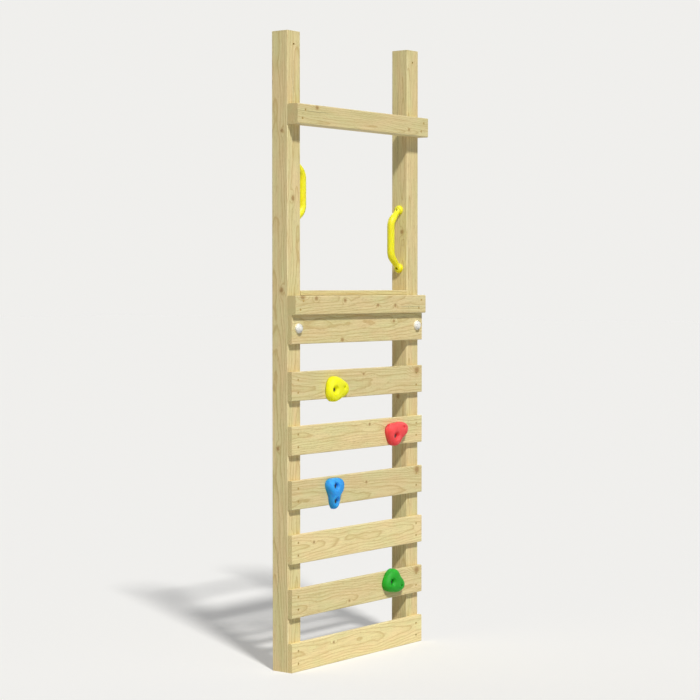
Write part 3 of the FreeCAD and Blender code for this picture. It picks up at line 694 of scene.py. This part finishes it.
def grip_path(count):
    """Points (out, along), heading and radius down the upper half of a grip, from its middle.

    Straight bar, then an arc about a centre one bend radius nearer the post, then a straight leg to
    the middle of the foot. On the leg the radius falls smoothly from the bar's to the leg's.
    """
    turn = math.radians(GRIP["lean"])
    corner = GRIP["spacing"] / 2 - (GRIP["standoff"] - GRIP["foot_height"] / 2) / math.tan(turn)
    straight = corner - GRIP["bend"] * math.tan(turn / 2)
    arc = GRIP["bend"] * turn
    arc_end = np.array([GRIP["standoff"] - GRIP["bend"] * (1 - math.cos(turn)),
                        straight + GRIP["bend"] * math.sin(turn)])
    foot = np.array([GRIP["foot_height"] / 2, GRIP["spacing"] / 2])
    leg = np.linalg.norm(foot - arc_end)
    way = np.linspace(0, straight + arc + leg, count)
    heading = np.clip((way - straight) / GRIP["bend"], 0, turn)
    down = np.clip(way - straight - arc, 0, None)
    out = GRIP["standoff"] - GRIP["bend"] * (1 - np.cos(heading)) - down * math.sin(turn)
    up = np.minimum(way, straight) + GRIP["bend"] * np.sin(heading) + down * math.cos(turn)
    radius = GRIP["bar"] + (GRIP["leg"] - GRIP["bar"]) * step(down, -6, leg * 0.8)
    return out, up, heading, radius


def grip_tube():
    """Grid of the bent tube: circles of the path's radius, square to its heading."""
    out, up, heading, radius = grip_path(120)
    out = np.concatenate([out[:0:-1], out])
    up = np.concatenate([-up[:0:-1], up])
    heading = np.concatenate([-heading[:0:-1], heading])
    radius = np.concatenate([radius[:0:-1], radius])
    around = np.linspace(0, 2 * math.pi, 72, endpoint=False)[None, :]
    lift = radius[:, None] * np.cos(around)
    return np.stack([out[:, None] + lift * np.cos(heading)[:, None],
                     radius[:, None] * np.sin(around),
                     up[:, None] + lift * np.sin(heading)[:, None]], axis=-1)


def foot_profile():
    """(radius, height) up a foot: a disc whose outer edge is a quarter circle."""
    inner, lower = GRIP["foot"] - GRIP["foot_edge"], GRIP["foot_height"] - GRIP["foot_edge"]
    edge = [(inner + GRIP["foot_edge"] * math.cos(a), lower + GRIP["foot_edge"] * math.sin(a))
            for a in np.linspace(0, math.pi / 2, 14)]
    return [(GRIP["foot"], 0.0)] + edge + [(2.0, GRIP["foot_height"])]


out, up = grip_path(120)[:2]
print("a grip is", round(2 * float(up[-1]) + 2 * GRIP["foot"]), "mm long and stands",
      round(float(out[0]) - GRIP["bar"]), "mm clear of its post")

# %% [markdown]
# ## Merging, smoothing and boring a grip
# Where two skins cross, their inner parts have to go. A voxel remesh keeps only the outside of them all,
# as one skin, and a few rounds of smoothing round off the crease as the mould does.

# %% Mould the two grips
VOXEL = 0.9                     # mm
BORE_END = 26.0                 # mm from the post, clear of the foot and the leg over it


def settled(obj):
    """Replaces obj's mesh by the one its modifiers make."""
    graph = bpy.context.evaluated_depsgraph_get()
    mesh = bpy.data.meshes.new_from_object(obj.evaluated_get(graph))
    obj.modifiers.clear()
    obj.data = mesh


def moulded_grip(name, side, post, middle):
    """One grip on the inner face of a post, side -1 left and 1 right, its middle so many metres up."""
    ends = [(0, 0, -GRIP["spacing"] / 2), (0, 0, GRIP["spacing"] / 2)]
    grip = skin(name, [grip_tube()] + [turned(foot_profile(), end, (1, 0, 0), 72) for end in ends])
    merge = grip.modifiers.new("merge", "REMESH")
    merge.mode = "VOXEL"
    merge.voxel_size = VOXEL * MM
    merge.use_smooth_shade = True
    soften = grip.modifiers.new("soften", "SMOOTH")
    soften.factor = 0.5
    soften.iterations = 10
    settled(grip)
    bore = [(GRIP["hole"], GRIP["seat"]), (GRIP["hole"], BORE_END)]
    cutter = skin("bore", [turned(bore, end, (1, 0, 0), 72) for end in ends])
    cut = grip.modifiers.new("bores", "BOOLEAN")
    cut.operation = "DIFFERENCE"
    cut.object = cutter
    settled(grip)
    bpy.data.objects.remove(cutter)

    low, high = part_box(post)
    face = high[0] if side < 0 else low[0]
    place = np.empty(len(grip.data.vertices) * 3)
    grip.data.vertices.foreach_get("co", place)
    place = place.reshape(-1, 3)
    place[:, 0] = np.maximum(place[:, 0], 0)
    place = place * (-side, 1, 1) + (face, (low[1] + high[1]) / 2, middle)
    grip.data.vertices.foreach_set("co", place.ravel())
    if side > 0:
        grip.data.flip_normals()
    grip.data.update()
    return grip


grip_pieces = []
for side, label in ((-1, "left"), (1, "right")):
    low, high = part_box("grip_" + label)
    piece = moulded_grip("hand_grip_" + label, side, "post_" + label, (low[2] + high[2]) / 2)
    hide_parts("grip_" + label)
    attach(piece, "root")
    grip_pieces.append(piece)
print([len(piece.data.polygons) for piece in grip_pieces], "faces in the two grips")

# %% [markdown]
# ## Bolt caps
# The two bolts that join the ladder to the tower end in white caps that snap over a plastic washer, so
# that no child meets a bolt head. Each is a thin turned shell, domed outside, hollow inside.

# %% Shape of the caps
CAP_RADIUS, CAP_WALL, CAP_BASE, CAP_HEIGHT = 17.0, 2.0, 3.0, 15.0
POLE = 0.05                     # mm, radius of the last ring at a pole


def cap_profile():
    """(radius, height) round the shell: up the dome inside from the rim, and over it outside.

    Outside is a quarter ellipse on a short upright rim with broken edges. Inside, the cosine's
    square root keeps the wall thin down to the snap rim.
    """
    turn = np.linspace(0, math.pi / 2, 26)
    dome = CAP_HEIGHT - CAP_BASE
    bore = CAP_RADIUS - CAP_WALL
    inner = [(bore * math.cos(a) ** 0.5, CAP_BASE + (dome - CAP_WALL) * math.sin(a)) for a in turn[-2::-1]]
    rim = [(bore + 0.1, 0.3), (bore + 0.4, 0.0), (CAP_RADIUS - 0.3, 0.0), (CAP_RADIUS, 0.35),
           (CAP_RADIUS, 1.6)]
    outer = [(CAP_RADIUS * math.cos(a), CAP_BASE + dome * math.sin(a)) for a in turn[:-1]]
    return [(POLE, CAP_HEIGHT - CAP_WALL)] + inner + rim + outer + [(POLE, CAP_HEIGHT)]


low, high = [Vector(corner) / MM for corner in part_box("bolt_caps")]
cap_grids = []
for x in (low.x + CAP_RADIUS, high.x - CAP_RADIUS):
    centre = (x, high.y, (low.z + high.z) / 2)
    cap_grids.append(turned(cap_profile(), centre, (0, -1, 0), 96))
caps = skin("domed_bolt_caps", cap_grids)
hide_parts("bolt_caps")
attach(caps, "root")
print("two caps,", len(caps.data.polygons), "faces")

# %% [markdown]
# ## Moulded plastic
# Holds and grips are coloured through, so a scratch never shows another colour. They leave the mould
# with a fine spark-eroded grain that makes the shine satin, with a few swirls of pigment, and hands
# polish the high places. A plain glossy colour would look wet. So three noises do that: swirls some
# 36 mm across in the colour, cloudy wear in the roughness, and the grain in the relief. The real
# grain is some 0.1 mm wide and wouldn't show, so it is drawn 0.67 mm wide. Polyethylene is a little
# milky too: light spreads some millimetres under its skin, which softens the shading.

# %% Plastic materials
def moulded_plastic(name, main, swirl, roughness, milky, parting=None):
    """Through-coloured plastic from a grained mould.

    milky is how far light spreads under the skin, in mm, before it comes out again. parting is the Y
    of the mould's parting plane, in metres, where a ridge 0.75 mm wide is left.
    """
    made, tree, surface = new_material(name)
    place = add(tree, "TexCoord")["Object"]
    flow = add(tree, "TexNoise", {}, {"Vector": place, "Scale": 1 / (36 * MM), "Detail": 3.0,
                                      "Distortion": 1.6})
    cloudy = add(tree, "MapRange", {}, {"Value": flow[0], "From Min": 0.45, "From Max": 0.75})[0]
    colour = add(tree, "Mix", BLEND, {0: cloudy, 6: linear(main), 7: linear(swirl)})[2]
    wear = add(tree, "TexNoise", {}, {"Vector": place, "Scale": 1 / (17 * MM), "Detail": 5.0})
    satin = add(tree, "MapRange", {}, {"Value": wear[0], "From Min": 0.3, "From Max": 0.7,
                                       "To Min": roughness - 0.06, "To Max": roughness + 0.08})
    grain = add(tree, "TexNoise", {}, {"Vector": place, "Scale": 1 / (0.67 * MM), "Detail": 2.0})
    bump = add(tree, "Bump", {}, {"Strength": 0.3, "Distance": 0.08 * MM, "Height": grain[0]})
    if parting is not None:
        depth = add(tree, "SeparateXYZ", {}, {0: place})[1]
        away = add(tree, "Math", "SUBTRACT", {0: depth, 1: parting})[0]
        away = add(tree, "Math", "ABSOLUTE", {0: away})[0]
        ridge = add(tree, "MapRange", SOFT, {"Value": away, "From Min": 0.15 * MM, "From Max": 0.6 * MM,
                                             "To Min": 1.0, "To Max": 0.0})[0]
        bump = add(tree, "Bump", {}, {"Strength": 1.0, "Distance": 0.3 * MM, "Height": ridge,
                                      "Normal": bump[0]})
    plug(tree, surface, {"Base Color": colour, "Roughness": satin[0], "Normal": bump[0], "IOR": 1.5,
                         "Specular IOR Level": 0.4, "Subsurface Weight": 1.0,
                         "Subsurface Radius": (1.0, 1.0, 1.0), "Subsurface Scale": milky * MM})
    return made


hold_colours = {"yellow": ("#FFFC10", "#FBF30C"), "red": ("#F55053", "#EC464A"),
                "blue": ("#2CA3F2", "#2497E8"), "green": ("#14AD1C", "#10A217")}
for colour, (main, swirl) in hold_colours.items():
    paint(hold_pieces[colour], moulded_plastic("moulded_polyethylene_" + colour, main, swirl, 0.62, 16))
low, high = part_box("post_left")
grip_finish = moulded_plastic("moulded_polyethylene_yellow_grip", "#F9F122", "#F3E71C", 0.42,
                              3, (low[1] + high[1]) / 2)
for piece in grip_pieces:
    paint(piece, grip_finish)
cap_finish = moulded_plastic("moulded_nylon_white", "#F1F1EC", "#EBEBE4", 0.38, 1.5)
paint(caps, cap_finish)
paint(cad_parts["bolt_cap_bases"], cap_finish)
print("plastic finishes:", ", ".join(hold_colours), "and white")

# %% [markdown]
# ## Zinc-plated steel
# Screws, bolts, washers and tee nuts are steel with a few thousandths of a millimetre of zinc. Plating
# isn't chrome: it is soft, cloudy, and rougher in the recesses, so the noise moves roughness. A last dip
# gives its colour. The bolts and nuts are left grey, the wood screws are yellow and hardly show on
# pine. Those that hold the holds are black zinc, kept dark as painted shade for their recesses, so that
# they don't glint there.

# %% Steel materials
def plated_steel(name, light, dark, smooth, rough):
    """Cloudy plating: one noise moves both its tone and its roughness."""
    made, tree, surface = new_material(name)
    place = add(tree, "TexCoord")["Object"]
    cloud = add(tree, "TexNoise", {}, {"Vector": place, "Scale": 1 / (4 * MM), "Detail": 4.0})[0]
    dull = add(tree, "MapRange", {}, {"Value": cloud, "From Min": 0.3, "From Max": 0.7,
                                      "To Min": smooth, "To Max": rough})[0]
    tone = add(tree, "Mix", BLEND, {0: cloud, 6: linear(light), 7: linear(dark)})[2]
    plug(tree, surface, {"Base Color": tone, "Roughness": dull, "Metallic": 1.0})
    return made


plating = {
    "grey": plated_steel("zinc_plated_steel", "#C6C7C6", "#AEAFAC", 0.30, 0.48),
    "yellow": plated_steel("yellow_passivated_zinc_steel", "#D3BE84", "#BFA568", 0.36, 0.54),
    # black zinc for the hold bolts: partly a real dark plating, partly painted shade that darkens the hold
    # recesses
    "black": plated_steel("black_zinc_steel_and_painted_recess_shade", "#6B6E70", "#4A4C4C", 0.36, 0.55),
}
steel = {name: "yellow" if name.endswith("screws") else "grey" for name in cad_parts
         if name.split("_")[-1] in ("screws", "bolts", "washers", "nuts")}
# the hold bolts, washers and lock screws get the dark zinc, as painted shade in their recesses
steel.update({"hold_bolts": "black", "hold_bolt_washers": "black", "hold_lock_screws": "black"})
for name, dip in steel.items():
    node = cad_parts[name]
    paint(node, plating[dip])
    bevel = node.modifiers.new("broken edges", "BEVEL")
    bevel.width = 0.25 * MM
    bevel.segments = 2
    bevel.limit_method = "ANGLE"
print(len(steel), "groups of steel fasteners:", ", ".join(steel))

# %% [markdown]
# ## Light
# One soft lamp stands high at the front left and gives the short shadows under boards and rails. Two
# weak and very wide lamps fill them, one from the front and one from behind. Lamps, sky and floor
# together light a board's front at about 1, so that a colour shows as it is written.

# %% Lamps
lamps = {
    "soft lamp": {"towards": (-0.35, -0.56, 0.745), "energy": 3.2, "angle": 6,
                  "color": (1.0, 0.985, 0.955)},
    "front fill": {"towards": (-0.1, -0.98, 0.15), "energy": 0.14, "angle": 80,
                   "color": (1.0, 1.0, 1.0)},
    "back fill": {"towards": (0.35, 0.9, 0.3), "energy": 0.7, "angle": 80, "color": (1.0, 1.0, 1.0)},
}


def soft_sun(name, lamp):
    """A sun lamp from one direction, its angle in degrees giving shadows with soft edges."""
    data = bpy.data.lights.new(name, "SUN")
    data.energy = lamp["energy"]
    data.angle = math.radians(lamp["angle"])
    data.color = lamp["color"]
    made = bpy.data.objects.new(name, data)
    made.rotation_euler = Vector(lamp["towards"]).to_track_quat("Z", "Y").to_euler()
    bpy.context.scene.collection.objects.link(made)


def floor_share(lamp):
    """The part of a lamp's energy that the floor gets.

    It is the mean height of 100 by 100 directions spread evenly over the lamp's cone, none below 0,
    over the mean that a face square to the lamp would have.
    """
    towards = Vector(lamp["towards"]).normalized()
    side = towards.orthogonal().normalized()
    other = towards.cross(side)
    rim = math.cos(math.radians(lamp["angle"] / 2))
    along, turn = np.meshgrid(1 - (np.arange(100) + 0.5) / 100 * (1 - rim),
                              np.linspace(0, 2 * math.pi, 100, endpoint=False))
    across = np.sqrt(1 - along ** 2)
    height = towards.z * along + across * (side.z * np.cos(turn) + other.z * np.sin(turn))
    return float(np.clip(height, 0, None).mean() / ((1 + rim) / 2))


for name, lamp in lamps.items():
    soft_sun(name, lamp)
print("the floor gets", {name: round(floor_share(lamp), 3) for name, lamp in lamps.items()})

# %% [markdown]
# ## Floor and sky
# The floor is plain and pale. Painted white, it would throw too much light up at the wall, so it is
# painted grey, and a glow that only the camera and shiny surfaces see makes it pale. The sky behind the
# wall is given the colour that the open floor renders at, so no horizon shows.

# %% Stage
SKY = 0.07                      # light from all round
FLOOR = "#D0D0CF"
FLOOR_GLOW = 0.29


def shows_background(tree):
    """1 for a ray from the camera, from a shiny surface or through glass, and 0 for soft light."""
    path = add(tree, "LightPath")
    shown = path["Is Camera Ray"]
    for name in ("Is Glossy Ray", "Is Transmission Ray"):
        shown = add(tree, "Math", "MAXIMUM", {0: shown, 1: path[name]})[0]
    return shown


open_floor = []
for channel in range(3):
    light = SKY + sum(lamp["energy"] / math.pi * floor_share(lamp) * lamp["color"][channel]
                      for lamp in lamps.values())
    open_floor.append(linear(FLOOR)[channel] * light + FLOOR_GLOW)

floor_mesh = bpy.data.meshes.new("floor")
floor_mesh.from_pydata([(-60, -60, 0), (60, -60, 0), (60, 60, 0), (-60, 60, 0)], [], [(0, 1, 2, 3)])
floor = bpy.data.objects.new("floor", floor_mesh)
bpy.context.scene.collection.objects.link(floor)
floor_paint, tree, surface = new_material("matt_floor_paint")
glow = add(tree, "Math", "MULTIPLY", {0: shows_background(tree), 1: FLOOR_GLOW})
plug(tree, surface, {"Base Color": linear(FLOOR), "Roughness": 1.0, "Specular IOR Level": 0.0,
                     "Emission Color": (1, 1, 1, 1), "Emission Strength": glow[0]})
paint(floor, floor_paint)

world = bpy.data.worlds.new("plain sky")
bpy.context.scene.world = world
world.use_nodes = True
tree = world.node_tree
sky = add(tree, "Mix", BLEND, {0: shows_background(tree), 6: (SKY, SKY, SKY, 1), 7: (*open_floor, 1)})
plug(tree, tree.nodes["Background"], {"Color": sky[2]})
print("the open floor renders at", [round(c, 3) for c in open_floor])

# %% [markdown]
# ## Camera
# It stands at the height of a grown-up's chest, to the left of the wall, and looks down by only
# 2 degrees, so that the posts stay nearly upright.

# %% Camera
camera_data = bpy.data.cameras.new("camera")
camera_data.lens = 98
camera = bpy.data.objects.new("camera", camera_data)
camera.location = (-5.411, -4.165, 1.326)
aim = Vector((0, 0, 1.1)) - camera.location
camera.rotation_euler = aim.to_track_quat("-Z", "Y").to_euler()
bpy.context.scene.collection.objects.link(camera)
bpy.context.scene.camera = camera
bpy.context.scene.view_settings.view_transform = "Standard"
print("camera", round(aim.length, 2), "m from the wall's middle")
